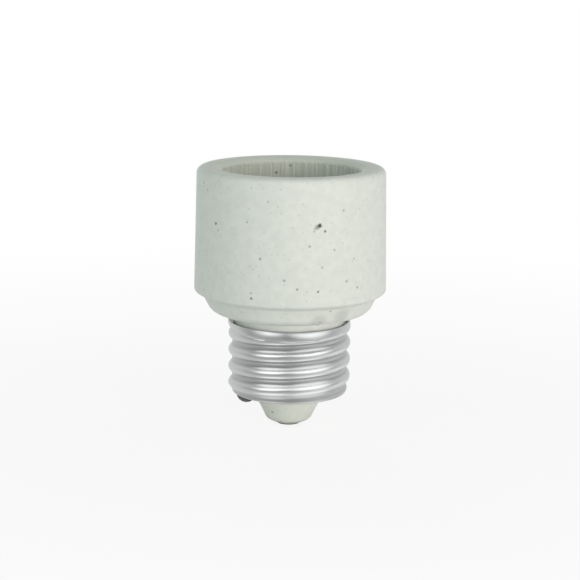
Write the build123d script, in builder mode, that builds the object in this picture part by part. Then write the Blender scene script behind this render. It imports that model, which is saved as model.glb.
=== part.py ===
from build123d import *
import os

# Porcelain socket extender: it screws into a medium lampholder and carries the lamp further out.
# Millimetres. Z runs up the axis from the tip contact at the origin, and -Y faces the viewer.

# Medium screw thread, rolled on the base shell; its depth is the lamp thread's too
thread_pitch = 3.629
thread_depth = 0.84
thread_crest_width = 0.8
thread_foot_width = 2.6
thread_overlap = 0.15
thread_fade_rise = 1.4
thread_fade_height = 1.3

# Base shell: sheet rolled outside the neck, with a flared lip above and a flange turned in below
base_thread_diameter = 26.2
base_sheet = 0.35
base_shell_height = 15.65
base_corner_cut = 1.1
base_lip_flare = 0.1
base_lip_height = 1.2
base_flare_height = 0.75
base_thread_start = -0.08
base_thread_turns = 4
base_seam_angle = 45  # the sheet's seam, kept clear of the thread's start so that the two join at any size

# Porcelain nose, neck and stepped underside, from the tip upwards
nose_seat_diameter = 5.6
nose_corner_diameter = 9.56
nose_top_diameter = 15.7
nose_bevel_height = 0.95
nose_height = 5.85
nose_clearance = 0.2
neck_clearance = 0.11
lip_gap = 1.4
under_corner_inset = 3.6
under_rise = 0.9
under_cut = 1.1
crease_inset = 1.8
band_height = 3.5
shoulder_height = 0.95

# Porcelain cup
body_diameter = 41.0
body_taper = 0.5
body_height = 26.35
body_edge_cut = 0.35
rim_cut = 0.9
mouth_bevel_width = 1.5
mouth_bevel_height = 0.8
floor_thickness = 4.05

# Socket shell: sheet cup with a plain foot, a wall drawn in to the lamp thread's inner size, and a flat lip
lamp_thread_diameter = 26.6
socket_sheet = 0.4
socket_shell_height = 20.7
socket_foot_height = 6.1
socket_draw_height = 0.7
socket_lip_width = 0.8
cavity_clearance = 0.25
socket_lip_clearance = 0.2
bore_clearance = 0.2

# Porcelain boss that stands through the floor of the socket shell and keeps it from turning
boss_width = 8.4
boss_length = 14.6
boss_corner_radius = 2.0
boss_height = 1.4
boss_clearance = 0.3

# Spring contact: a strip folded back over itself, its foot on the boss
strip_width = 6.0
strip_thickness = 0.5
strip_foot_back = 3.0
strip_foot_front = 5.2
strip_bend_radius = 1.05
strip_leaf_angle = 12
strip_leaf_length = 9.2
strip_end_radius = 1.5

# Rivets
shank_diameter = 2.2
shank_clearance = 0.1
porcelain_clearance = 0.2
head_edge = 0.25
head_bevel = 0.7
tip_head_diameter = 4.8
tip_head_height = 0.45
side_head_diameter = 4.1
side_head_height = 1.7
clinch_diameter = 3.8
clinch_height = 0.6
side_rivet_inset = 2.41
side_rivet_angle = 203

# Heights that the pieces share
nose_seat_z = tip_head_height
nose_corner_z = nose_seat_z + nose_bevel_height
flange_z = nose_corner_z + nose_height
shoulder_z = flange_z + base_sheet
base_rim_z = flange_z + base_shell_height
flare_top_z = base_rim_z - base_lip_height
flare_low_z = flare_top_z - base_flare_height
under_z = base_rim_z + lip_gap
under_corner_z = under_z + under_rise
crease_z = under_corner_z + band_height
body_low_z = crease_z + shoulder_height
rim_z = body_low_z + body_height
floor_z = under_z + floor_thickness
shell_floor_z = floor_z + socket_sheet
socket_rim_z = floor_z + socket_shell_height
socket_lip_z = socket_rim_z - socket_sheet
ledge_z = socket_lip_z - socket_lip_clearance
draw_low_z = floor_z + socket_foot_height
draw_top_z = draw_low_z + socket_draw_height
boss_z = floor_z + boss_height
foot_mid_z = boss_z + strip_thickness / 2
foot_z = boss_z + strip_thickness

# Radii that the pieces share
base_root_r = base_thread_diameter / 2 - thread_depth
base_lip_r = base_thread_diameter / 2 + base_lip_flare
flare_rise = base_flare_height / (base_lip_r - base_root_r)
nose_top_r = nose_top_diameter / 2
base_inner_r = base_root_r - base_sheet
neck_r = base_inner_r - neck_clearance
body_r = body_diameter / 2
lamp_root_r = lamp_thread_diameter / 2 - thread_depth
socket_inner_r = lamp_thread_diameter / 2
socket_outer_r = socket_inner_r + socket_sheet
cavity_r = socket_outer_r + cavity_clearance
socket_lip_r = socket_outer_r + socket_lip_width
bore_r = socket_lip_r + bore_clearance
shank_hole_r = shank_diameter / 2 + shank_clearance
porcelain_hole_r = shank_diameter / 2 + porcelain_clearance
side_rivet_spot = Vector(base_root_r - side_rivet_inset, 0, 0).rotate(Axis.Z, side_rivet_angle)

# A bent corner is a straight bevel; the bevel inside it is smaller by this share of the sheet
inner_bevel_share = 2 - 2**0.5
base_inner_cut = base_corner_cut - inner_bevel_share * base_sheet
neck_edge_cut = base_inner_cut + neck_clearance


def outline(corners):
    """Closed half section from (radius, height, cut) corners; cut bevels a corner, 0 leaves it."""
    spots = [Vector(radius, height) for radius, height, cut in corners]
    points = []
    for place, spot in enumerate(spots):
        cut = corners[place][2]
        if cut:
            before = spots[place - 1]
            after = spots[place + 1]
            points.append(spot + (before - spot).normalized() * cut)
            points.append(spot + (after - spot).normalized() * cut)
        else:
            points.append(spot)
    with BuildSketch(Plane.XZ) as section:
        with BuildLine():
            Polyline(*points, close=True)
        make_face()
    return section.sketch


def rolled_thread(foot_r, start_z, turns, low_z, low_rise, high_z, high_rise):
    """Right-hand ridge on a wall; cones that pass foot_r at low_z and high_z cut its ends to run-outs."""
    crest_r = foot_r + thread_depth
    inside_r = foot_r - 2 * thread_overlap
    outside_r = crest_r + thread_overlap
    half_foot = thread_foot_width / 2
    half_crest = thread_crest_width / 2
    with BuildPart() as thread:
        with BuildLine() as helix:
            Helix(thread_pitch, thread_pitch * turns, foot_r, center=(0, 0, start_z))
        with BuildSketch(Plane.XZ):
            with BuildLine():
                Polyline(
                    (foot_r - thread_overlap, start_z - half_foot),
                    (foot_r, start_z - half_foot),
                    (crest_r, start_z - half_crest),
                    (crest_r, start_z + half_crest),
                    (foot_r, start_z + half_foot),
                    (foot_r - thread_overlap, start_z + half_foot),
                    close=True,
                )
            make_face()
        sweep(path=helix.line, is_frenet=True)
        revolve(
            outline(
                [
                    (inside_r, low_z + (inside_r - foot_r) * low_rise, 0),
                    (outside_r, low_z + (outside_r - foot_r) * low_rise, 0),
                    (outside_r, high_z + (outside_r - foot_r) * high_rise, 0),
                    (inside_r, high_z + (inside_r - foot_r) * high_rise, 0),
                ]
            ),
            axis=Axis.Z,
            mode=Mode.INTERSECT,
        )
    return thread.part


def rivet(spot, head_d, head_height, seat_z, clinch_z):
    """Bevelled head under seat_z, a shank, and a clinched head on top of clinch_z."""
    head_r = head_d / 2
    shank_r = shank_diameter / 2
    clinch_r = clinch_diameter / 2
    head_z = seat_z - head_height
    top_z = clinch_z + clinch_height
    with BuildPart() as piece:
        with BuildSketch(Plane(spot, x_dir=(1, 0, 0), z_dir=(0, -1, 0))):
            with BuildLine():
                Polyline(
                    (0, head_z),
                    (head_r - head_bevel, head_z),
                    (head_r, seat_z - head_edge),
                    (head_r, seat_z),
                    (shank_r, seat_z),
                    (shank_r, clinch_z),
                    (clinch_r, clinch_z),
                    (clinch_r, top_z),
                    (0, top_z),
                    close=True,
                )
            make_face()
        revolve(axis=Axis(spot, (0, 0, 1)))
    return piece.part


# Porcelain body: nose, neck, stepped underside and cup pressed as one piece
with BuildPart() as porcelain_body:
    revolve(
        outline(
            [
                (0, nose_seat_z, 0),
                (nose_seat_diameter / 2, nose_seat_z, 0),
                (nose_corner_diameter / 2, nose_corner_z, 0),
                (nose_top_r, shoulder_z, 0),
                (neck_r, shoulder_z, neck_edge_cut),
                (neck_r, under_z, 0),
                (body_r - under_corner_inset, under_corner_z, under_cut),
                (body_r - crease_inset, crease_z, 0),
                (body_r, body_low_z, body_edge_cut),
                (body_r - body_taper, rim_z, rim_cut),
                (bore_r + mouth_bevel_width, rim_z, 0),
                (bore_r, rim_z - mouth_bevel_height, 0),
                (bore_r, ledge_z, 0),
                (cavity_r, ledge_z, 0),
                (cavity_r, floor_z, 0),
                (0, floor_z, 0),
            ]
        ),
        axis=Axis.Z,
    )
    with BuildSketch(Plane.XY.offset(floor_z)):
        RectangleRounded(boss_width, boss_length, boss_corner_radius)
    extrude(amount=boss_height)
    with Locations((0, 0, boss_z), (side_rivet_spot.X, side_rivet_spot.Y, floor_z)):
        Hole(porcelain_hole_r)
porcelain_body.part.label = "porcelain_body"

# Base shell: the sheet first, then the thread rolled on its outside
base_thread = rolled_thread(
    base_root_r,
    flange_z + base_thread_start,
    base_thread_turns,
    flange_z + thread_fade_height,
    thread_fade_rise,
    flare_low_z + base_sheet / 2 * flare_rise,
    flare_rise,
)
with BuildPart() as base_shell:
    revolve(
        outline(
            [
                (nose_top_r + nose_clearance, flange_z, 0),
                (base_root_r, flange_z, base_corner_cut),
                (base_root_r, flare_low_z, 0),
                (base_lip_r, flare_top_z, 0),
                (base_lip_r, base_rim_z, 0),
                (base_lip_r - base_sheet, base_rim_z, 0),
                (base_lip_r - base_sheet, flare_top_z, 0),
                (base_inner_r, flare_low_z, 0),
                (base_inner_r, shoulder_z, base_inner_cut),
                (nose_top_r + nose_clearance, shoulder_z, 0),
            ]
        ).rotate(Axis.Z, base_seam_angle),
        axis=Axis.Z,
    )
    add(base_thread)
    with Locations((side_rivet_spot.X, side_rivet_spot.Y, shoulder_z)):
        Hole(shank_hole_r, depth=base_sheet)
base_shell.part.label = "base_shell"

# Socket shell: the cup, a slot for the boss and a hole for the side rivet
with BuildPart() as socket_shell:
    revolve(
        outline(
            [
                (0, floor_z, 0),
                (socket_outer_r, floor_z, 0),
                (socket_outer_r, draw_low_z, 0),
                (lamp_root_r + socket_sheet, draw_top_z, 0),
                (lamp_root_r + socket_sheet, socket_lip_z, 0),
                (socket_lip_r, socket_lip_z, 0),
                (socket_lip_r, socket_rim_z, 0),
                (lamp_root_r, socket_rim_z, 0),
                (lamp_root_r, draw_top_z, 0),
                (socket_inner_r, draw_low_z, 0),
                (socket_inner_r, shell_floor_z, 0),
                (0, shell_floor_z, 0),
            ]
        ),
        axis=Axis.Z,
    )
    with BuildSketch(Plane.XY.offset(floor_z)):
        RectangleRounded(
            boss_width + 2 * boss_clearance,
            boss_length + 2 * boss_clearance,
            boss_corner_radius + boss_clearance,
        )
    extrude(amount=socket_sheet, mode=Mode.SUBTRACT)
    with Locations((side_rivet_spot.X, side_rivet_spot.Y, shell_floor_z)):
        Hole(shank_hole_r, depth=socket_sheet)
socket_shell.part.label = "socket_shell"

# Spring contact: foot, fold and leaf traced along the middle of the strip, then widened
with BuildPart() as centre_contact:
    with BuildSketch(Plane.YZ):
        with BuildLine():
            foot = Line((-strip_foot_back, foot_mid_z), (strip_foot_front, foot_mid_z))
            fold = JernArc(foot @ 1, foot % 1, strip_bend_radius, 180 - strip_leaf_angle)
            PolarLine(fold @ 1, strip_leaf_length, direction=fold % 1)
        trace(line_width=strip_thickness)
    extrude(amount=strip_width / 2, both=True)
    fillet(centre_contact.edges().filter_by(Axis.X, reverse=True).group_by(Axis.Y)[0], strip_end_radius)
    with Locations((0, 0, foot_z)):
        Hole(shank_hole_r, depth=strip_thickness)
centre_contact.part.label = "centre_contact"

# Rivets: the centre one carries current from the strip to the tip, the side one joins the two shells
centre_rivet = rivet(Vector(0, 0, 0), tip_head_diameter, tip_head_height, nose_seat_z, foot_z)
centre_rivet.label = "centre_rivet"
side_rivet = rivet(side_rivet_spot, side_head_diameter, side_head_height, flange_z, shell_floor_z)
side_rivet.label = "side_rivet"

os.makedirs("parts", exist_ok=True)
for piece in (
    porcelain_body.part,
    base_shell.part,
    socket_shell.part,
    centre_contact.part,
    centre_rivet,
    side_rivet,
):
    export_step(piece, f"parts/{piece.label}.step")
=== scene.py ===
import math

import bmesh
import bpy
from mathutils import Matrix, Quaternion, Vector


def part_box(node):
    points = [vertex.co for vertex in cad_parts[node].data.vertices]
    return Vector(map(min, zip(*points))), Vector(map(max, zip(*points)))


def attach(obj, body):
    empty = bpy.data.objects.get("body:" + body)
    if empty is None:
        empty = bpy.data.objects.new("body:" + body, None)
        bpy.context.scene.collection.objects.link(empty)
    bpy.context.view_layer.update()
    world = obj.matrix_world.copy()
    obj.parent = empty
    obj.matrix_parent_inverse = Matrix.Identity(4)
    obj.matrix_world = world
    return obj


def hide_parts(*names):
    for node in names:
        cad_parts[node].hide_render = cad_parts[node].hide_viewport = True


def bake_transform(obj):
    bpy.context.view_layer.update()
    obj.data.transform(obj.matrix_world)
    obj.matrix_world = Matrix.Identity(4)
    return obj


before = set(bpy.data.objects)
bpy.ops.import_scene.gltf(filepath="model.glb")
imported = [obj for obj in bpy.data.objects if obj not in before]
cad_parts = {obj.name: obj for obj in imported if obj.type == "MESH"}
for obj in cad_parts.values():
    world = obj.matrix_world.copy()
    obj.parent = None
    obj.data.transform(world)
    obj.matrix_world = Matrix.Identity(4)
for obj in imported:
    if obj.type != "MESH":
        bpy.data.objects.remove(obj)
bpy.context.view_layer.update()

mm = 0.001
full_turn = 2 * math.pi

# Places nearer than this count as one
hair = 0.001 * mm

# Places taken from the CAD nodes
cup_low, cup_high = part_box("porcelain_body")
base_low, base_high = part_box("base_shell")
lamp_low, lamp_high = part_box("socket_shell")
strip_low, strip_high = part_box("centre_contact")
tip_low, tip_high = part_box("centre_rivet")
side_low, side_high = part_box("side_rivet")

# Steps round a turned piece, six to each rib in the mouth, along a rounded corner and over a fine edge
rib_count = 36
rib_steps = 6
turn_steps = rib_count * rib_steps
corner_steps = 7
edge_steps = 2

# Edges sharper than this stay crisp
crisp_angle = math.radians(38)

# Share of a direction that points up: at least on an upright edge or a top face, at most on an upright face
mostly_up = 0.9
hardly_up = 0.05

# Medium lamp thread, a rolled knuckle form: equal arcs on crest and root
thread_pitch = 3.629 * mm
thread_depth = 0.84 * mm
knuckle_r = ((thread_pitch / 4) ** 2 + (thread_depth / 2) ** 2) / thread_depth

# Base shell
base_sheet = 0.35 * mm
base_root_r = 12.26 * mm
base_flange_z = base_low[2]
base_rim_z = base_high[2]
base_lip_r = base_high[0]
base_lip_least = 0.5 * mm
base_lip_more = 1.4 * mm
base_flare_height = 0.7 * mm
base_lip_roll = 1.9 * mm
base_lip_roll_r = 3.84 * mm
base_lip_lean = 1.6
base_corner_round = 0.5 * mm
base_hole_r = 8.05 * mm
base_crest_z = base_flange_z + 0.12 * mm
base_fade_full = base_flange_z + 1.9 * mm
base_fade_under_lip = 0.4 * mm
base_fade_over_lip = 0.3 * mm
base_ring = 0.16 * mm
base_edge = 0.08 * mm
base_edge_angle = math.radians(60)

# Porcelain nose, neck and underside
nose_seat_z = cup_low[2]
nose_seat_r = 2.8 * mm
nose_corner_r = 4.78 * mm
nose_corner_z = nose_seat_z + 0.95 * mm
nose_top_r = 7.85 * mm
nose_seat_round = 0.2 * mm
nose_corner_round = 0.5 * mm
nose_top_round = 0.1 * mm
shoulder_z = base_flange_z + base_sheet
shoulder_round = 0.6 * mm
neck_r = 11.8 * mm
neck_round = 0.3 * mm
under_z = base_rim_z + 1.4 * mm
under_corner_r = 16.9 * mm
under_corner_z = under_z + 0.9 * mm
under_corner_round = 1.3 * mm
crease_r = 18.7 * mm
crease_z = under_z + 4.4 * mm
crease_round = 0.25 * mm

# Porcelain cup
body_r = cup_high[0]
body_low_z = crease_z + 0.95 * mm
body_low_round = 0.4 * mm
body_taper = 0.49 * mm
rim_z = cup_high[2]
rim_round = 1.4 * mm
mouth_r = 16.2 * mm
bore_r = 14.7 * mm
mouth_bevel = 0.8 * mm
mouth_round = 0.5 * mm
ledge_z = lamp_high[2] - 0.6 * mm
cavity_r = 13.95 * mm
cavity_round = 0.4 * mm
floor_z = lamp_low[2]
rivet_hole_r = 1.3 * mm

# Ribs down the mouth's bore
rib_column = 4
rib_phase = math.radians(0.5)
rib_proud = 0.1 * mm
rib_edge = 0.08 * mm
rib_off_bore = 0.05 * mm
rib_low_z = ledge_z + 0.3 * mm

# Boss on the cup's floor
boss_width = 8.4 * mm
boss_length = 14.6 * mm
boss_corner = 2.0 * mm
boss_corner_steps = 8
boss_top_z = floor_z + 1.4 * mm
boss_top_round = 0.3 * mm
boss_top_steps = 4
boss_sink = 0.4 * mm
boss_slot = 0.3 * mm
slot_reach = 1.0 * mm

# Lamp shell
lamp_sheet = 0.4 * mm
lamp_root_r = 12.46 * mm
lamp_inner_r = lamp_root_r + thread_depth
lamp_foot_z = floor_z + 6.1 * mm
lamp_draw_z = lamp_foot_z + 0.7 * mm
lamp_lip_r = lamp_high[0]
lamp_rim_z = lamp_high[2]
lamp_foot_round = 0.9 * mm
lamp_draw_round = 0.3 * mm
lamp_lip_round = 0.35 * mm
lamp_wall_low = lamp_draw_z + 0.28 * mm
lamp_wall_high = lamp_rim_z - 0.34 * mm
lamp_ring = 0.2 * mm
lamp_fade = 1.4 * mm
lamp_fade_end = 0.3 * mm

# Spring strip
strip_sheet = 0.5 * mm
strip_half = strip_high[0]
strip_foot_z = strip_low[2] + strip_sheet / 2
strip_back_y = -3.0 * mm
strip_front_y = 5.2 * mm
strip_fold_r = 1.05 * mm
strip_leaf_tilt = math.radians(12)
strip_leaf = 9.2 * mm
strip_fold_steps = 16
strip_corner = 1.5 * mm
strip_edge = 0.1 * mm
strip_edge_angle = math.radians(50)
strip_side_share = 0.1
strip_margin = 0.15 * mm

# Rivets
shank_r = 1.1 * mm
clinch_r = 1.9 * mm
clinch_height = 0.6 * mm
tip_head_r = tip_high[0]
tip_head_height = nose_seat_z - tip_low[2]
tip_clinch_z = tip_high[2] - clinch_height
side_head_r = (side_high[0] - side_low[0]) / 2
side_head_height = base_flange_z - side_low[2]
side_clinch_z = side_high[2] - clinch_height
side_spot = Vector(((side_low[0] + side_high[0]) / 2, (side_low[1] + side_high[1]) / 2, 0))
head_edge = 0.25 * mm
head_round = 0.1 * mm
clinch_under_round = 0.15 * mm
clinch_round = 0.4 * mm
dome_steps = 10
rivet_steps = 64

# Porcelain's colours: glaze in two tones, a greyer clay that is partly bare clay and partly painted shade,
# streaks of painted shade between the mouth's ribs, pin marks and iron specks
glaze_grey = "#DFE1DD"
glaze_white = "#E5E7E3"
bare_clay_and_shade = "#D7DAD0"
rib_gap_shade = "#9B9E94"
pin_mark = "#8E9085"
iron_speck = "#45463A"

# Sizes of its patterns in mm: ragged edges of the specks, spacing of iron specks and pin marks, clouds of the
# fired colour, streaks of painted shade between the mouth's ribs, grain of the clay
ragged_mm = 0.5
iron_mm = 3.6
pin_mm = 1.4
cloud_mm = 1.8
rib_gap_shade_mm = 0.7
clay_mm = 0.8

# How far the ragged edges stray, the full dark share of a placed speck, the strength of the painted shade
# between the mouth's ribs, how little its streaks change down the bore, and the relief of the clay
ragged_shift = 0.4 * mm
speck_core = 0.3
rib_gap_shade_strength = 0.34
rib_gap_shade_stretch = 0.02
clay_relief = 0.1 * mm

# Rolled metal: how little the grain changes round the piece, and its relief
roll_stretch = 0.12
roll_relief = 0.05 * mm

# Larger iron specks and two faint smears: turn to the right of the front in degrees, radius, height and
# half width in mm, strength
placed_specks = [
    (14.5, 20.19, 46.0, 0.6, 0.35),
    (15.6, 20.18, 46.3, 0.7, 0.6),
    (16.8, 20.18, 46.6, 0.65, 1.0),
    (20.2, 20.2, 45.37, 0.4, 0.75),
    (13.6, 20.2, 45.4, 0.3, 0.4),
    (-49.6, 20.19, 45.74, 0.45, 0.85),
    (-47.2, 20.21, 44.5, 0.35, 0.3),
    (-22.7, 20.46, 31.28, 0.4, 0.7),
    (-22.9, 20.44, 32.4, 0.32, 0.45),
    (16.3, 20.43, 32.95, 0.38, 0.7),
    (11.1, 20.25, 42.37, 0.36, 0.6),
    (34.5, 20.4, 34.7, 0.38, 0.55),
    (-17.6, 20.31, 39.6, 0.36, 0.5),
    (4.1, 20.42, 33.6, 0.34, 0.55),
    (-3.4, 20.38, 35.4, 0.36, 0.45),
    (26.2, 20.27, 41.45, 0.36, 0.4),
    (42.6, 20.43, 33.1, 0.34, 0.55),
    (18.5, 20.34, 38.0, 0.34, 0.4),
    (-64.3, 20.05, 53.6, 0.36, 0.5),
    (-59.1, 20.07, 52.24, 0.36, 0.4),
    (-13.3, 20.09, 51.35, 0.34, 0.35),
    (-26.1, 20.17, 46.9, 0.32, 0.4),
    (40.0, 20.31, 39.2, 0.34, 0.35),
    (21.5, 17.13, 25.86, 0.4, 0.6),
    (26.9, 18.48, 28.28, 0.35, 0.5),
    (-167.1, 14.6, 52.67, 0.45, 0.8),
    (-179.1, 14.6, 54.2, 0.4, 0.7),
    (-35.8, 5.87, 3.6, 0.36, 0.6),
    (20.0, 17.3, 26.1, 2.4, 0.17),
    (37.0, 17.9, 26.8, 2.6, 0.2),
]


def pick_vertices(piece, wanted):
    """Selects, in edit mode, the vertices whose place passes the test."""
    bpy.ops.mesh.select_mode(type="VERT")
    bpy.ops.mesh.select_all(action="DESELECT")
    mesh = bmesh.from_edit_mesh(piece.data)
    for vertex in mesh.verts:
        vertex.select = wanted(vertex.co)
    mesh.select_flush_mode()
    bmesh.update_edit_mesh(piece.data)


def pick_faces(piece, wanted):
    """Selects, in edit mode, the faces whose middle and normal pass the test."""
    bpy.ops.mesh.select_mode(type="FACE")
    bpy.ops.mesh.select_all(action="DESELECT")
    mesh = bmesh.from_edit_mesh(piece.data)
    for face in mesh.faces:
        face.select = wanted(face.calc_center_median(), face.normal)
    mesh.select_flush_mode()
    bmesh.update_edit_mesh(piece.data)


def start_point(name, place):
    """A small plane merged to one vertex at a place, left in edit mode to be drawn on from there."""
    bpy.ops.object.select_all(action="DESELECT")
    bpy.ops.mesh.primitive_plane_add(size=mm)
    piece = bpy.context.object
    piece.name = name
    piece.data.name = name
    bpy.ops.object.mode_set(mode="EDIT")
    bpy.ops.mesh.select_mode(type="VERT")
    bpy.ops.mesh.select_all(action="SELECT")
    bpy.ops.mesh.merge(type="CENTER")
    bpy.ops.transform.translate(value=place)
    return piece


def draw_section(piece, corners):
    """Extrudes the vertex through (radius, height, rounding) corners, then rounds each of them."""
    for (r0, z0, _), (r1, z1, _) in zip(corners, corners[1:]):
        bpy.ops.mesh.extrude_region_move(TRANSFORM_OT_translate={"value": (r1 - r0, 0, z1 - z0)})
    for radius, height, rounding in corners:
        if rounding:
            corner = Vector((radius, 0, height))
            pick_vertices(piece, lambda place: (place - corner).length < hair)
            bpy.ops.mesh.bevel(
                affect="VERTICES", offset_type="OFFSET", offset=rounding, segments=corner_steps
            )


def turn_section(steps=turn_steps):
    """Spins what is drawn once round the axis and closes the seam and the poles."""
    bpy.ops.mesh.select_all(action="SELECT")
    bpy.ops.mesh.spin(steps=steps, angle=full_turn, center=(0, 0, 0), axis=(0, 0, 1))
    bpy.ops.mesh.select_all(action="SELECT")
    bpy.ops.mesh.remove_doubles(threshold=hair)
    bpy.ops.mesh.normals_make_consistent(inside=False)


def smooth_finish(piece, material, slot, body, *nodes):
    """Smooth shading with crisp edges, the finish, and the CAD nodes and body that the piece stands for."""
    bpy.ops.object.mode_set(mode="OBJECT")
    bpy.ops.object.select_all(action="DESELECT")
    piece.select_set(True)
    bpy.context.view_layer.objects.active = piece
    bpy.ops.object.shade_smooth_by_angle(angle=crisp_angle)
    piece.data.materials.append(material)
    if body:
        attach(piece, body)
    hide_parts(*nodes)


def apply_modifier(piece, kind, **settings):
    """Adds one modifier in object mode and applies it."""
    bpy.ops.object.mode_set(mode="OBJECT")
    bpy.ops.object.select_all(action="DESELECT")
    piece.select_set(True)
    bpy.context.view_layer.objects.active = piece
    modifier = piece.modifiers.new(kind.lower(), kind)
    for name, value in settings.items():
        setattr(modifier, name, value)
    bpy.ops.object.modifier_apply(modifier=modifier.name)


def ease(value, low, high):
    """0 below low, 1 above high, smooth between."""
    share = min(1.0, max(0.0, (value - low) / (high - low)))
    return share * share * (3 - 2 * share)


def knuckle(place, crest_z):
    """How far a right-hand knuckle thread stands out at a place: 0 in its root, its depth on its crest."""
    turn = math.atan2(place.y, place.x) / full_turn
    along = (place.z - crest_z) / thread_pitch - turn
    from_crest = abs(along - round(along)) * thread_pitch
    if from_crest < thread_pitch / 4:
        return thread_depth + math.sqrt(knuckle_r**2 - from_crest**2) - knuckle_r
    from_root = thread_pitch / 2 - from_crest
    return knuckle_r - math.sqrt(knuckle_r**2 - from_root**2)


def linear(code):
    """Linear colour of an sRGB hex code."""
    parts = [int(code[i : i + 2], 16) / 255 for i in (1, 3, 5)]
    return (*[p / 12.92 if p <= 0.04045 else ((p + 0.055) / 1.055) ** 2.4 for p in parts], 1)


def add_node(tree, kind, inputs=None, **settings):
    """Adds a node, sets it up, and gives its sockets values or links."""
    node = tree.nodes.new(kind)
    for name, value in settings.items():
        setattr(node, name, value)
    for name, value in (inputs or {}).items():
        if isinstance(value, bpy.types.NodeSocket):
            tree.links.new(value, node.inputs[name])
        else:
            node.inputs[name].default_value = value
    return node


def new_material(name):
    """A material with no nodes yet, and its node tree."""
    material = bpy.data.materials.new(name)
    material.use_nodes = True
    material.node_tree.nodes.clear()
    return material, material.node_tree


def direction(turn, rise):
    """Unit direction from the object: degrees to the right of the camera's side, and degrees up."""
    turn = math.radians(turn)
    rise = math.radians(rise)
    return Vector((math.sin(turn) * math.cos(rise), -math.cos(turn) * math.cos(rise), math.sin(rise)))


def per_mm(size):
    """Scale of a texture whose pattern repeats at about this many millimetres."""
    return 1 / (size * mm)


def distance_from_axis(tree, place):
    """How far a place on a piece lies from the object's upright axis."""
    across = add_node(
        tree, "ShaderNodeVectorMath", {0: place, 1: (1, 1, 0)}, operation="MULTIPLY"
    ).outputs["Vector"]
    return add_node(tree, "ShaderNodeVectorMath", {0: across}, operation="LENGTH").outputs["Value"]


def ways_of_seeing(tree):
    """Two switches: 1 where the camera looks, also through glass, and 1 where a glossy face mirrors."""
    ray = add_node(tree, "ShaderNodeLightPath")
    directly = add_node(
        tree,
        "ShaderNodeMath",
        {0: ray.outputs["Is Camera Ray"], 1: ray.outputs["Is Transmission Ray"]},
        operation="MAXIMUM",
    ).outputs["Value"]
    return directly, ray.outputs["Is Glossy Ray"]


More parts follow.
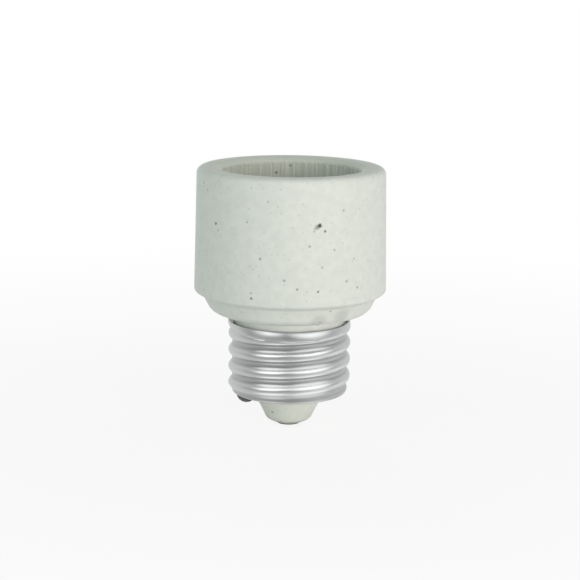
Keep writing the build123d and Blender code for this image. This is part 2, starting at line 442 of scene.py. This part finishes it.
def make_porcelain():
    """Pressed and fired porcelain, thinly glazed: a cool off-white, nearly matt, with iron specks."""
    material, tree = new_material("speckled_porcelain")
    place = add_node(tree, "ShaderNodeTexCoord").outputs["Object"]
    # Irregular edges for the specks
    wobble = add_node(
        tree, "ShaderNodeTexNoise", {"Vector": place, "Scale": per_mm(ragged_mm), "Detail": 2.0}
    )
    shift = add_node(
        tree,
        "ShaderNodeVectorMath",
        {0: wobble.outputs["Color"], 1: (0.5, 0.5, 0.5)},
        operation="SUBTRACT",
    )
    moved = add_node(
        tree,
        "ShaderNodeVectorMath",
        {0: shift.outputs["Vector"], 1: (ragged_shift,) * 3, 2: place},
        operation="MULTIPLY_ADD",
    ).outputs["Vector"]
    # Iron specks that fired through: some to half a millimetre, and fine pin marks between them
    coarse = add_node(tree, "ShaderNodeTexVoronoi", {"Vector": moved, "Scale": per_mm(iron_mm)})
    coarse_size = add_node(
        tree, "ShaderNodeSeparateColor", {"Color": coarse.outputs["Color"]}
    ).outputs["Red"]
    coarse_reach = add_node(
        tree,
        "ShaderNodeMapRange",
        {"Value": coarse_size, "From Min": 0.35, "From Max": 1.0, "To Min": 0.0, "To Max": 0.11},
    ).outputs["Result"]
    coarse_mark = add_node(
        tree,
        "ShaderNodeMapRange",
        {
            "Value": coarse.outputs["Distance"],
            "From Min": 0.0,
            "From Max": coarse_reach,
            "To Min": 0.6,
            "To Max": 0.0,
        },
        interpolation_type="SMOOTHSTEP",
    ).outputs["Result"]
    for turn, radius, height, size, strength in placed_specks:
        angle = math.radians(turn)
        spot = (radius * mm * math.sin(angle), -radius * mm * math.cos(angle), height * mm)
        away = add_node(
            tree, "ShaderNodeVectorMath", {0: moved, 1: spot}, operation="DISTANCE"
        ).outputs["Value"]
        mark = add_node(
            tree,
            "ShaderNodeMapRange",
            {
                "Value": away,
                "From Min": speck_core * size * mm,
                "From Max": size * mm,
                "To Min": strength,
                "To Max": 0.0,
            },
            interpolation_type="SMOOTHSTEP",
        ).outputs["Result"]
        coarse_mark = add_node(
            tree, "ShaderNodeMath", {0: coarse_mark, 1: mark}, operation="MAXIMUM"
        ).outputs["Value"]
    fine = add_node(tree, "ShaderNodeTexVoronoi", {"Vector": moved, "Scale": per_mm(pin_mm)})
    fine_mark = add_node(
        tree,
        "ShaderNodeMapRange",
        {"Value": fine.outputs["Distance"], "From Min": 0.04, "From Max": 0.2, "To Min": 0.3, "To Max": 0.0},
        interpolation_type="SMOOTHSTEP",
    ).outputs["Result"]
    # Cloudy drift of the fired colour
    drift = add_node(
        tree, "ShaderNodeTexNoise", {"Vector": place, "Scale": per_mm(cloud_mm), "Detail": 6.0}
    )
    cloud = add_node(
        tree,
        "ShaderNodeMapRange",
        {"Value": drift.outputs["Fac"], "From Min": 0.3, "From Max": 0.7},
        interpolation_type="SMOOTHSTEP",
    ).outputs["Result"]
    glazed = add_node(
        tree,
        "ShaderNodeMix",
        {"Factor": cloud, 6: linear(glaze_grey), 7: linear(glaze_white)},
        data_type="RGBA",
    ).outputs[2]
    # Over the rim, in the mouth and above the nose the colour goes over to a greyer clay: partly bare clay
    # where the glaze thins and stops, partly painted shade on the rim's top, in the mouth and on the nose
    from_axis = distance_from_axis(tree, place)
    inward = add_node(
        tree,
        "ShaderNodeMapRange",
        {"Value": from_axis, "From Min": mouth_r, "From Max": body_r - mm, "To Min": 1.0, "To Max": 0.0},
    ).outputs["Result"]
    height = add_node(tree, "ShaderNodeSeparateXYZ", {"Vector": place}).outputs["Z"]
    upward = add_node(
        tree,
        "ShaderNodeMapRange",
        {"Value": height, "From Min": floor_z - mm, "From Max": floor_z},
    ).outputs["Result"]
    in_mouth = add_node(
        tree, "ShaderNodeMath", {0: inward, 1: upward}, operation="MULTIPLY"
    ).outputs["Value"]
    on_nose = add_node(
        tree,
        "ShaderNodeMapRange",
        {"Value": height, "From Min": shoulder_z - mm, "From Max": shoulder_z, "To Min": 0.5, "To Max": 0.0},
    ).outputs["Result"]
    bare_and_shade_share = add_node(
        tree, "ShaderNodeMath", {0: in_mouth, 1: on_nose}, operation="MAXIMUM"
    ).outputs["Value"]
    clay = add_node(
        tree,
        "ShaderNodeMix",
        {"Factor": bare_and_shade_share, 6: glazed, 7: linear(bare_clay_and_shade)},
        data_type="RGBA",
    ).outputs[2]
    # Painted shade down the bore in irregular streaks between the ribs, with the ribs left pale as a painted
    # highlight
    in_bore = add_node(
        tree,
        "ShaderNodeMapRange",
        {
            "Value": from_axis,
            "From Min": bore_r + 0.02 * mm,
            "From Max": bore_r + 0.25 * mm,
            "To Min": 1.0,
            "To Max": 0.0,
        },
    ).outputs["Result"]
    along_bore = add_node(
        tree, "ShaderNodeMapping", {"Vector": place, "Scale": (1.0, 1.0, rib_gap_shade_stretch)}
    ).outputs["Vector"]
    rib_gap_streaks = add_node(
        tree, "ShaderNodeTexNoise", {"Vector": along_bore, "Scale": per_mm(rib_gap_shade_mm), "Detail": 3.0}
    )
    rib_gap_shade_dark = add_node(
        tree,
        "ShaderNodeMapRange",
        {
            "Value": rib_gap_streaks.outputs["Fac"],
            "From Min": 0.46,
            "From Max": 0.68,
            "To Min": rib_gap_shade_strength,
            "To Max": 0.0,
        },
    ).outputs["Result"]
    off_ribs = add_node(
        tree,
        "ShaderNodeMapRange",
        {"Value": from_axis, "From Min": bore_r - 1.4 * rib_proud, "From Max": bore_r - 0.2 * rib_proud},
    ).outputs["Result"]
    shade_between_ribs = add_node(
        tree, "ShaderNodeMath", {0: rib_gap_shade_dark, 1: off_ribs}, operation="MULTIPLY"
    ).outputs["Value"]
    high_bore = add_node(
        tree, "ShaderNodeMath", {0: in_bore, 1: upward}, operation="MULTIPLY"
    ).outputs["Value"]
    rib_gap_shade_share = add_node(
        tree, "ShaderNodeMath", {0: shade_between_ribs, 1: high_bore}, operation="MULTIPLY"
    ).outputs["Value"]
    clay = add_node(
        tree,
        "ShaderNodeMix",
        {"Factor": rib_gap_shade_share, 6: clay, 7: linear(rib_gap_shade)},
        data_type="RGBA",
    ).outputs[2]
    pinned = add_node(
        tree,
        "ShaderNodeMix",
        {"Factor": fine_mark, 6: clay, 7: linear(pin_mark)},
        data_type="RGBA",
    ).outputs[2]
    specked = add_node(
        tree,
        "ShaderNodeMix",
        {"Factor": coarse_mark, 6: pinned, 7: linear(iron_speck)},
        data_type="RGBA",
    ).outputs[2]
    # Glaze that lies a little unevenly over the pressed grain
    grain = add_node(
        tree, "ShaderNodeTexNoise", {"Vector": place, "Scale": per_mm(clay_mm), "Detail": 4.0}
    )
    gloss = add_node(
        tree,
        "ShaderNodeMapRange",
        {"Value": grain.outputs["Fac"], "To Min": 0.4, "To Max": 0.55},
    ).outputs["Result"]
    bump = add_node(
        tree,
        "ShaderNodeBump",
        {"Height": grain.outputs["Fac"], "Strength": 0.24, "Distance": clay_relief},
    ).outputs["Normal"]
    shader = add_node(
        tree,
        "ShaderNodeBsdfPrincipled",
        {"Base Color": specked, "Roughness": gloss, "Normal": bump, "IOR": 1.5},
    )
    add_node(tree, "ShaderNodeOutputMaterial", {"Surface": shader.outputs["BSDF"]})
    return material


def make_metal(name, pale, dark, patch_mm, smoothest, roughest, grain_mm, grain_bump, root_shade=None):
    """Bare or plated metal: two tones and an uneven gloss in soft patches, the fine lines of rolling, and if
    asked painted shade in a thread's roots.
    """
    material, tree = new_material(name)
    place = add_node(tree, "ShaderNodeTexCoord").outputs["Object"]
    cloud = add_node(tree, "ShaderNodeTexNoise", {"Vector": place, "Scale": per_mm(patch_mm), "Detail": 5.0})
    tone = add_node(
        tree,
        "ShaderNodeMix",
        {"Factor": cloud.outputs["Fac"], 6: linear(dark), 7: linear(pale)},
        data_type="RGBA",
    ).outputs[2]
    if root_shade:
        # Painted shade: the thread's roots, hollows that lie in shade, take a darker tone
        from_axis = distance_from_axis(tree, place)
        off_root = add_node(
            tree, "ShaderNodeMath", {0: from_axis, 1: base_root_r}, operation="SUBTRACT"
        ).outputs["Value"]
        from_root = add_node(
            tree, "ShaderNodeMath", {0: off_root}, operation="ABSOLUTE"
        ).outputs["Value"]
        in_root = add_node(
            tree,
            "ShaderNodeMapRange",
            {
                "Value": from_root,
                "From Min": 0.0,
                "From Max": 0.6 * thread_depth,
                "To Min": 1.0,
                "To Max": 0.0,
            },
            interpolation_type="SMOOTHSTEP",
        ).outputs["Result"]
        tone = add_node(
            tree, "ShaderNodeMix", {"Factor": in_root, 6: tone, 7: linear(root_shade)}, data_type="RGBA"
        ).outputs[2]
    # Rolling draws the grain out round the piece, so it is fine along the axis and long across it; true
    # rolling lines are too fine to show, so these are drawn coarser
    drawn = add_node(
        tree, "ShaderNodeMapping", {"Vector": place, "Scale": (roll_stretch, roll_stretch, 1.0)}
    ).outputs["Vector"]
    lines = add_node(tree, "ShaderNodeTexNoise", {"Vector": drawn, "Scale": per_mm(grain_mm), "Detail": 3.0})
    gloss = add_node(
        tree,
        "ShaderNodeMapRange",
        {
            "Value": cloud.outputs["Fac"],
            "From Min": 0.3,
            "From Max": 0.7,
            "To Min": smoothest,
            "To Max": roughest,
        },
    ).outputs["Result"]
    bump = add_node(
        tree,
        "ShaderNodeBump",
        {"Height": lines.outputs["Fac"], "Strength": grain_bump, "Distance": roll_relief},
    ).outputs["Normal"]
    shader = add_node(
        tree,
        "ShaderNodeBsdfPrincipled",
        {"Base Color": tone, "Metallic": 1.0, "Roughness": gloss, "Normal": bump},
    )
    add_node(tree, "ShaderNodeOutputMaterial", {"Surface": shader.outputs["BSDF"]})
    return material


porcelain = make_porcelain()
# Rolled aluminium sheet, left bare: pale grey, satin, with faint lines round it, and painted shade in its
# thread's roots
aluminium = make_metal(
    "rolled_aluminium",
    pale="#D8D9D9",
    dark="#CBCDCD",
    patch_mm=3.0,
    smoothest=0.28,
    roughest=0.35,
    grain_mm=0.25,
    grain_bump=0.035,
    root_shade="#B2B3B3",
)
# Hard-rolled brass strip: yellow, satin, a little dulled
brass = make_metal(
    "spring_brass",
    pale="#D9B65F",
    dark="#B99243",
    patch_mm=2.5,
    smoothest=0.26,
    roughest=0.4,
    grain_mm=0.3,
    grain_bump=0.06,
)
# Tin-plated brass: grey, dull, uneven where the setting tool pressed it
tin = make_metal(
    "tin_plate",
    pale="#74726D",
    dark="#45433F",
    patch_mm=1.2,
    smoothest=0.26,
    roughest=0.4,
    grain_mm=0.4,
    grain_bump=0.05,
)

# Porcelain cup: nose, neck, underside and cup as one turned section, round the centre rivet's hole
cup = start_point("porcelain_cup", (rivet_hole_r, 0, nose_seat_z))
draw_section(
    cup,
    [
        (rivet_hole_r, nose_seat_z, 0),
        (nose_seat_r, nose_seat_z, nose_seat_round),
        (nose_corner_r, nose_corner_z, nose_corner_round),
        (nose_top_r, shoulder_z, nose_top_round),
        (neck_r, shoulder_z, shoulder_round),
        (neck_r, under_z, neck_round),
        (under_corner_r, under_corner_z, under_corner_round),
        (crease_r, crease_z, crease_round),
        (body_r, body_low_z, body_low_round),
        (body_r - body_taper, rim_z, rim_round),
        (mouth_r, rim_z, mouth_round),
        (bore_r, rim_z - mouth_bevel, mouth_round),
        (bore_r, rib_low_z, 0),
        (bore_r, ledge_z, 0),
        (cavity_r, ledge_z, 0),
        (cavity_r, floor_z, cavity_round),
        (rivet_hole_r, floor_z, 0),
    ],
)
pick_vertices(cup, lambda place: place.x < rivet_hole_r + hair)
bpy.ops.mesh.edge_face_add()
turn_section()
bpy.ops.transform.rotate(value=-rib_phase, orient_axis="Z", center_override=(0, 0, 0))


def on_rib(middle, normal):
    """True on one column of faces in every rib's share of the mouth's upright bore."""
    radius = math.hypot(middle.x, middle.y)
    if abs(radius - bore_r) > rib_off_bore or middle.z < rib_low_z or abs(normal.z) > hardly_up:
        return False
    column = ((math.atan2(middle.y, middle.x) - rib_phase) / full_turn * turn_steps) % rib_steps
    return rib_column < column < rib_column + 1


pick_faces(cup, on_rib)
bpy.ops.mesh.extrude_region_shrink_fatten(TRANSFORM_OT_shrink_fatten={"value": rib_proud})
bpy.ops.mesh.inset(thickness=rib_edge, depth=rib_proud)
smooth_finish(cup, porcelain, "porcelain", "socket", "porcelain_body")


def rounded_block(name, width, length, low_z, high_z, corner):
    """A cube drawn out to size on the axis, its upright edges rounded; left in edit mode."""
    bpy.ops.object.select_all(action="DESELECT")
    bpy.ops.mesh.primitive_cube_add(size=1)
    block = bpy.context.object
    block.name = name
    block.data.name = name
    bpy.ops.object.mode_set(mode="EDIT")
    bpy.ops.transform.resize(value=(width, length, high_z - low_z))
    bpy.ops.transform.translate(value=(0, 0, (high_z + low_z) / 2))
    bpy.ops.mesh.select_mode(type="EDGE")
    bpy.ops.mesh.select_all(action="DESELECT")
    mesh = bmesh.from_edit_mesh(block.data)
    for edge in mesh.edges:
        edge.select = abs((edge.verts[0].co - edge.verts[1].co).normalized().z) > mostly_up
    mesh.select_flush_mode()
    bmesh.update_edit_mesh(block.data)
    bpy.ops.mesh.bevel(offset=corner, segments=boss_corner_steps)
    return block


# Boss on the floor of the cup, under the spring strip
boss = rounded_block("contact_boss", boss_width, boss_length, floor_z - boss_sink, boss_top_z, boss_corner)
pick_faces(boss, lambda middle, normal: normal.z > mostly_up)
bpy.ops.mesh.select_mode(type="EDGE")
bpy.ops.mesh.region_to_loop()
bpy.ops.mesh.bevel(offset=boss_top_round, segments=boss_top_steps)
smooth_finish(boss, porcelain, "porcelain", "socket", "porcelain_body")

# Base shell: flange, rounded corner, wall and lip, the knuckle thread rolled into the wall
base = start_point("screw_shell", (base_hole_r, 0, base_flange_z))
draw_section(
    base,
    [
        (base_hole_r, base_flange_z, 0),
        (base_root_r, base_flange_z, base_corner_round),
        (base_root_r, base_rim_z, 0),
    ],
)
pick_vertices(base, lambda place: place.x > base_root_r - hair)
bpy.ops.mesh.subdivide(number_cuts=round((base_rim_z - base_flange_z - base_corner_round) / base_ring))
turn_section()
bpy.ops.object.mode_set(mode="OBJECT")
for vertex in base.data.vertices:
    radius = math.hypot(vertex.co.x, vertex.co.y)
    if vertex.co.z > base_flange_z + hair:
        # The lip leans in where a root of the thread comes out at the rim, and flares out over a crest
        at_rim = knuckle(Vector((vertex.co.x, vertex.co.y, base_rim_z)), base_crest_z) / thread_depth
        lean = max(0.0, 1 - base_lip_lean * at_rim)
        flare_top = base_rim_z - base_lip_least - base_lip_more * lean
        flare_low = flare_top - base_flare_height
        lip_proud = base_lip_r - base_root_r
        lip_proud += (thread_depth - lip_proud) * lean
        rolled = max(0.0, vertex.co.z - base_rim_z + base_lip_roll)
        lip = lip_proud * ease(vertex.co.z, flare_low, flare_top)
        lip -= lean * (base_lip_roll_r - math.sqrt(base_lip_roll_r**2 - rolled**2))
        thread = knuckle(vertex.co, base_crest_z) * ease(vertex.co.z, base_flange_z, base_fade_full)
        thread *= 1 - ease(vertex.co.z, flare_low + base_fade_under_lip, flare_top + base_fade_over_lip)
        wider = (radius + max(thread, lip)) / radius
        vertex.co.x *= wider
        vertex.co.y *= wider
apply_modifier(base, "SOLIDIFY", thickness=base_sheet, offset=-1.0)
apply_modifier(
    base, "BEVEL", width=base_edge, segments=edge_steps, limit_method="ANGLE", angle_limit=base_edge_angle
)
smooth_finish(base, aluminium, "aluminium_sheet", "socket", "base_shell")

# Lamp shell: floor, plain foot, drawn-in wall with the lamp's thread, and a flat lip
lamp = start_point("lamp_shell", (0, 0, floor_z + lamp_sheet))
draw_section(
    lamp,
    [
        (0, floor_z + lamp_sheet, 0),
        (lamp_inner_r, floor_z + lamp_sheet, lamp_foot_round),
        (lamp_inner_r, lamp_foot_z, lamp_draw_round),
        (lamp_root_r, lamp_draw_z, lamp_draw_round),
        (lamp_root_r, lamp_rim_z, lamp_lip_round),
        (lamp_lip_r, lamp_rim_z, 0),
    ],
)
pick_vertices(
    lamp,
    lambda place: place.x < lamp_root_r + hair and lamp_wall_low < place.z < lamp_wall_high,
)
bpy.ops.mesh.subdivide(number_cuts=round((lamp_wall_high - lamp_wall_low) / lamp_ring))
turn_section()
bpy.ops.object.mode_set(mode="OBJECT")
for vertex in lamp.data.vertices:
    radius = math.hypot(vertex.co.x, vertex.co.y)
    if abs(radius - lamp_root_r) < 2 * hair:
        groove = knuckle(vertex.co, floor_z)
        groove *= ease(vertex.co.z, lamp_draw_z, lamp_draw_z + lamp_fade)
        groove *= 1 - ease(vertex.co.z, lamp_rim_z - lamp_fade, lamp_rim_z - lamp_fade_end)
        wider = (radius + groove) / radius
        vertex.co.x *= wider
        vertex.co.y *= wider
apply_modifier(lamp, "SOLIDIFY", thickness=lamp_sheet, offset=-1.0)
# Slot in its floor, which the boss stands up through
slot_cutter = rounded_block(
    "slot_cutter",
    boss_width + 2 * boss_slot,
    boss_length + 2 * boss_slot,
    floor_z - slot_reach,
    floor_z + slot_reach,
    boss_corner + boss_slot,
)
apply_modifier(lamp, "BOOLEAN", operation="DIFFERENCE", solver="EXACT", object=slot_cutter)
bpy.data.objects.remove(slot_cutter)
smooth_finish(lamp, aluminium, "aluminium_sheet", "socket", "socket_shell")

# Spring strip: foot, fold and leaf drawn as a line, widened to a strip and given its thickness
strip = start_point("spring_strip", (-strip_half, strip_back_y, strip_foot_z))
bpy.ops.mesh.extrude_region_move(TRANSFORM_OT_translate={"value": (0, strip_front_y - strip_back_y, 0)})
bpy.ops.mesh.spin(
    steps=strip_fold_steps,
    angle=math.pi - strip_leaf_tilt,
    center=(0, strip_front_y, strip_foot_z + strip_fold_r),
    axis=(-1, 0, 0),
)
bpy.ops.mesh.extrude_region_move(
    TRANSFORM_OT_translate={
        "value": (0, -strip_leaf * math.cos(strip_leaf_tilt), strip_leaf * math.sin(strip_leaf_tilt))
    }
)
bpy.ops.mesh.select_all(action="SELECT")
bpy.ops.mesh.remove_doubles(threshold=hair)
bpy.ops.mesh.extrude_region_move(TRANSFORM_OT_translate={"value": (2 * strip_half, 0, 0)})
bpy.ops.mesh.select_all(action="SELECT")
bpy.ops.mesh.normals_make_consistent(inside=False)
pick_vertices(strip, lambda place: place.y < strip_back_y + hair)
bpy.ops.mesh.bevel(affect="VERTICES", offset=strip_corner, segments=corner_steps)
apply_modifier(strip, "SOLIDIFY", thickness=strip_sheet, offset=0.0)
apply_modifier(
    strip,
    "BEVEL",
    width=strip_edge,
    segments=edge_steps,
    limit_method="ANGLE",
    angle_limit=strip_edge_angle,
)
# An inset keeps the broad faces flat beside their bevelled edges
bpy.ops.object.mode_set(mode="EDIT")
pick_faces(
    strip,
    lambda middle, normal: abs(normal.x) < strip_side_share and abs(middle.x) < strip_half / 2,
)
bpy.ops.mesh.inset(thickness=strip_margin)
smooth_finish(strip, brass, "spring_brass", None, "centre_contact")
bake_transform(strip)


def make_rivet(name, spot, head_r, head_height, seat_z, clinch_z, node):
    """A rivet with a domed head below its seat, a shank, and a clinched head on top."""
    dome = head_height - head_edge
    dome_r = (head_r**2 + dome**2) / (2 * dome)
    piece = start_point(name, (0, 0, seat_z - head_height))
    bpy.ops.mesh.spin(
        steps=dome_steps,
        angle=math.asin(head_r / dome_r),
        center=(0, 0, seat_z - head_height + dome_r),
        axis=(0, 1, 0),
    )
    draw_section(
        piece,
        [
            (head_r, seat_z - head_edge, 0),
            (head_r, seat_z, head_round),
            (shank_r, seat_z, 0),
            (shank_r, clinch_z, 0),
            (clinch_r, clinch_z, clinch_under_round),
            (clinch_r, clinch_z + clinch_height, clinch_round),
            (0, clinch_z + clinch_height, 0),
        ],
    )
    turn_section(rivet_steps)
    bpy.ops.mesh.select_all(action="SELECT")
    bpy.ops.transform.translate(value=spot)
    smooth_finish(piece, tin, "plated_rivet", "socket", node)


make_rivet("tip_rivet", (0, 0, 0), tip_head_r, tip_head_height, nose_seat_z, tip_clinch_z, "centre_rivet")
make_rivet(
    "shell_rivet", side_spot, side_head_r, side_head_height, base_flange_z, side_clinch_z, "side_rivet"
)

# Studio card: its size in metres, and where it goes over from nearly white by the object to plain white
card_size = 3.0
card_near = 20 * mm
card_far = 250 * mm
card_near_white = 0.86

# The card in the metal: dim in front and paler behind, dark right under the object
card_front_y = -60 * mm
card_back_y = 20 * mm
card_front_glow = 0.58
card_back_glow = 0.85
shade_low_r = 4 * mm
shade_high_r = 10 * mm
shade_glow = 0.12

# Lit patches on it, seen in the metal alone: middle, reach and brightness
lit_middle_r = 4 * mm
lit_patches = [
    ((-9 * mm, -19 * mm, 0), 18 * mm, 1.4),
    ((12 * mm, -15 * mm, 0), 24 * mm, 1.4),
    ((72 * mm, -8 * mm, 0), 150 * mm, 1.2),
]

# The room in the metal: dim on the camera's side, paler behind the object and overhead
room_dim = 0.3
room_behind = 0.8
room_overhead = 0.6

# Two soft panels over the camera's shoulders, seen in the metal alone: degrees to the right of the camera's
# side, degrees up, the cosine where the panel ends, brightness; both are full from the same cosine on
panel_full = 0.96
soft_panels = [
    (-44, 40, 0.83, 2.0),
    (46, 40, 0.62, 1.75),
]

# The light that the room gives, from its sides and from its ceiling
sides_light = 0.55
ceiling_light = 0.38

# Soft lamps, with lengths in metres: degrees to the right of the camera's side, width, watts, colour
light_rise = 8
light_distance = 0.8
light_height = 0.24
soft_lamps = {
    "right_lamp": (33, 0.75, 3.32, "#FFF7F1"),
    "left_lamp": (-56, 0.5, 0.62, "#EAFFF8"),
    "back_lamp": (-165, 0.5, 2.0, "#FFF4EE"),
}

# A white card floor and surround, plain white to the camera
bpy.ops.object.select_all(action="DESELECT")
bpy.ops.mesh.primitive_plane_add(size=card_size)
floor = bpy.context.object
floor.name = "studio_floor"
floor_material, tree = new_material("white_card")
seen_directly, seen_mirrored = ways_of_seeing(tree)
floor_place = add_node(tree, "ShaderNodeTexCoord").outputs["Object"]
from_object = add_node(
    tree, "ShaderNodeVectorMath", {0: floor_place}, operation="LENGTH"
).outputs["Value"]
run_out = add_node(
    tree,
    "ShaderNodeMapRange",
    {
        "Value": from_object,
        "From Min": card_near,
        "From Max": card_far,
        "To Min": card_near_white,
        "To Max": 1.0,
    },
    interpolation_type="SMOOTHSTEP",
).outputs["Result"]
whiteness = add_node(
    tree, "ShaderNodeMath", {0: run_out, 1: seen_directly}, operation="MULTIPLY"
).outputs["Value"]
card = add_node(tree, "ShaderNodeBsdfDiffuse", {"Color": linear("#F7F7F5")})
white = add_node(tree, "ShaderNodeEmission", {"Color": (1, 1, 1, 1), "Strength": 1.0})
seamless = add_node(
    tree,
    "ShaderNodeMixShader",
    {0: whiteness, 1: card.outputs["BSDF"], 2: white.outputs["Emission"]},
)
# In the metal the card is dim in front, with two lit patches at the object's foot and one on its right
card_depth = add_node(tree, "ShaderNodeSeparateXYZ", {"Vector": floor_place}).outputs["Y"]
card_glow = add_node(
    tree,
    "ShaderNodeMapRange",
    {
        "Value": card_depth,
        "From Min": card_front_y,
        "From Max": card_back_y,
        "To Min": card_front_glow,
        "To Max": card_back_glow,
    },
    interpolation_type="SMOOTHSTEP",
).outputs["Result"]
for lit_spot, lit_reach, lit_level in lit_patches:
    from_spot = add_node(
        tree, "ShaderNodeVectorMath", {0: floor_place, 1: lit_spot}, operation="DISTANCE"
    ).outputs["Value"]
    spot_glow = add_node(
        tree,
        "ShaderNodeMapRange",
        {
            "Value": from_spot,
            "From Min": lit_middle_r,
            "From Max": lit_reach,
            "To Min": lit_level,
            "To Max": 0.0,
        },
        interpolation_type="SMOOTHSTEP",
    ).outputs["Result"]
    card_glow = add_node(
        tree, "ShaderNodeMath", {0: card_glow, 1: spot_glow}, operation="MAXIMUM"
    ).outputs["Value"]
foot_shade = add_node(
    tree,
    "ShaderNodeMapRange",
    {
        "Value": from_object,
        "From Min": shade_low_r,
        "From Max": shade_high_r,
        "To Min": shade_glow,
        "To Max": 1.0,
    },
    interpolation_type="SMOOTHSTEP",
).outputs["Result"]
card_glow = add_node(
    tree, "ShaderNodeMath", {0: card_glow, 1: foot_shade}, operation="MULTIPLY"
).outputs["Value"]
mirrored_card = add_node(tree, "ShaderNodeEmission", {"Color": (1, 1, 1, 1), "Strength": card_glow})
shown_card = add_node(
    tree,
    "ShaderNodeMixShader",
    {0: seen_mirrored, 1: seamless.outputs["Shader"], 2: mirrored_card.outputs["Emission"]},
)
add_node(tree, "ShaderNodeOutputMaterial", {"Surface": shown_card.outputs["Shader"]})
floor.data.materials.append(floor_material)

world = bpy.data.worlds.new("studio")
bpy.context.scene.world = world
world.use_nodes = True
tree = world.node_tree
tree.nodes.clear()
seen_directly, seen_mirrored = ways_of_seeing(tree)
toward = add_node(tree, "ShaderNodeTexCoord").outputs["Generated"]
heading = add_node(tree, "ShaderNodeSeparateXYZ", {"Vector": toward})
# In the metal the room is pale behind the object and overhead, and dim on the camera's side
mirrored_back = add_node(
    tree,
    "ShaderNodeMapRange",
    {
        "Value": heading.outputs["Y"],
        "From Min": -0.5,
        "From Max": 0.6,
        "To Min": room_dim,
        "To Max": room_behind,
    },
    interpolation_type="SMOOTHSTEP",
).outputs["Result"]
mirrored_ceiling = add_node(
    tree,
    "ShaderNodeMapRange",
    {
        "Value": heading.outputs["Z"],
        "From Min": 0.45,
        "From Max": 0.9,
        "To Min": room_dim,
        "To Max": room_overhead,
    },
    interpolation_type="SMOOTHSTEP",
).outputs["Result"]
mirrored_room = add_node(
    tree, "ShaderNodeMath", {0: mirrored_back, 1: mirrored_ceiling}, operation="MAXIMUM"
).outputs["Value"]
for panel_turn, panel_rise, panel_end, panel_light in soft_panels:
    nearness = add_node(
        tree,
        "ShaderNodeVectorMath",
        {0: toward, 1: direction(panel_turn, panel_rise)},
        operation="DOT_PRODUCT",
    ).outputs["Value"]
    panel_glow = add_node(
        tree,
        "ShaderNodeMapRange",
        {
            "Value": nearness,
            "From Min": panel_end,
            "From Max": panel_full,
            "To Min": 0.0,
            "To Max": panel_light,
        },
        interpolation_type="SMOOTHSTEP",
    ).outputs["Result"]
    mirrored_room = add_node(
        tree, "ShaderNodeMath", {0: mirrored_room, 1: panel_glow}, operation="MAXIMUM"
    ).outputs["Value"]
shown_room = add_node(
    tree, "ShaderNodeMix", {"Factor": seen_directly, "A": mirrored_room, "B": 1.0}, data_type="FLOAT"
).outputs["Result"]
# The light that the room gives is faintly green, and weaker from the ceiling than from the sides
lit_room = add_node(
    tree,
    "ShaderNodeMapRange",
    {
        "Value": heading.outputs["Z"],
        "From Min": 0.1,
        "From Max": 0.9,
        "To Min": sides_light,
        "To Max": ceiling_light,
    },
    interpolation_type="SMOOTHSTEP",
).outputs["Result"]
seen_or_mirrored = add_node(
    tree, "ShaderNodeMath", {0: seen_directly, 1: seen_mirrored}, operation="MAXIMUM"
).outputs["Value"]
lighting = add_node(tree, "ShaderNodeBackground", {"Color": linear("#F4FFFA"), "Strength": lit_room})
surround = add_node(tree, "ShaderNodeBackground", {"Color": (1, 1, 1, 1), "Strength": shown_room})
studio_light = add_node(
    tree,
    "ShaderNodeMixShader",
    {0: seen_or_mirrored, 1: lighting.outputs["Background"], 2: surround.outputs["Background"]},
)
add_node(tree, "ShaderNodeOutputWorld", {"Surface": studio_light.outputs["Shader"]})

# Low soft lamps round the object, turned to its middle; the metal shows the card and panels in their place
middle = Vector((0, 0, 28.15 * mm))
for name, (light_turn, width, watts, colour) in soft_lamps.items():
    data = bpy.data.lights.new(name, "AREA")
    data.shape = "RECTANGLE"
    data.size = width
    data.size_y = light_height
    data.energy = watts
    data.color = linear(colour)[:3]
    soft_lamp = bpy.data.objects.new(name, data)
    bpy.context.scene.collection.objects.link(soft_lamp)
    soft_lamp.location = middle + light_distance * direction(light_turn, light_rise)
    soft_lamp.rotation_euler = (middle - soft_lamp.location).to_track_quat("-Z", "Y").to_euler()
    soft_lamp.visible_camera = False
    soft_lamp.visible_glossy = False

# Camera: 400 mm off and a little above, as the ellipses of rim and thread give, leaning by under a degree
camera_rise = 11.6
camera_distance = 400 * mm
camera_lean = math.radians(0.7)
frame_width = 124.2 * mm
aim_lift = 1.2 * mm
aim = middle + Vector((0, 0, aim_lift))
camera_data = bpy.data.cameras.new("camera")
camera_data.sensor_width = 36.0
camera_data.lens = camera_data.sensor_width * camera_distance / frame_width
camera_data.clip_start = 0.01
camera = bpy.data.objects.new("camera", camera_data)
bpy.context.scene.collection.objects.link(camera)
camera.location = middle + camera_distance * direction(0, camera_rise)
looking = (aim - camera.location).to_track_quat("-Z", "Y")
camera.rotation_euler = (looking @ Quaternion((0, 0, 1), camera_lean)).to_euler()
bpy.context.scene.camera = camera

bpy.context.scene.view_settings.view_transform = "Standard"
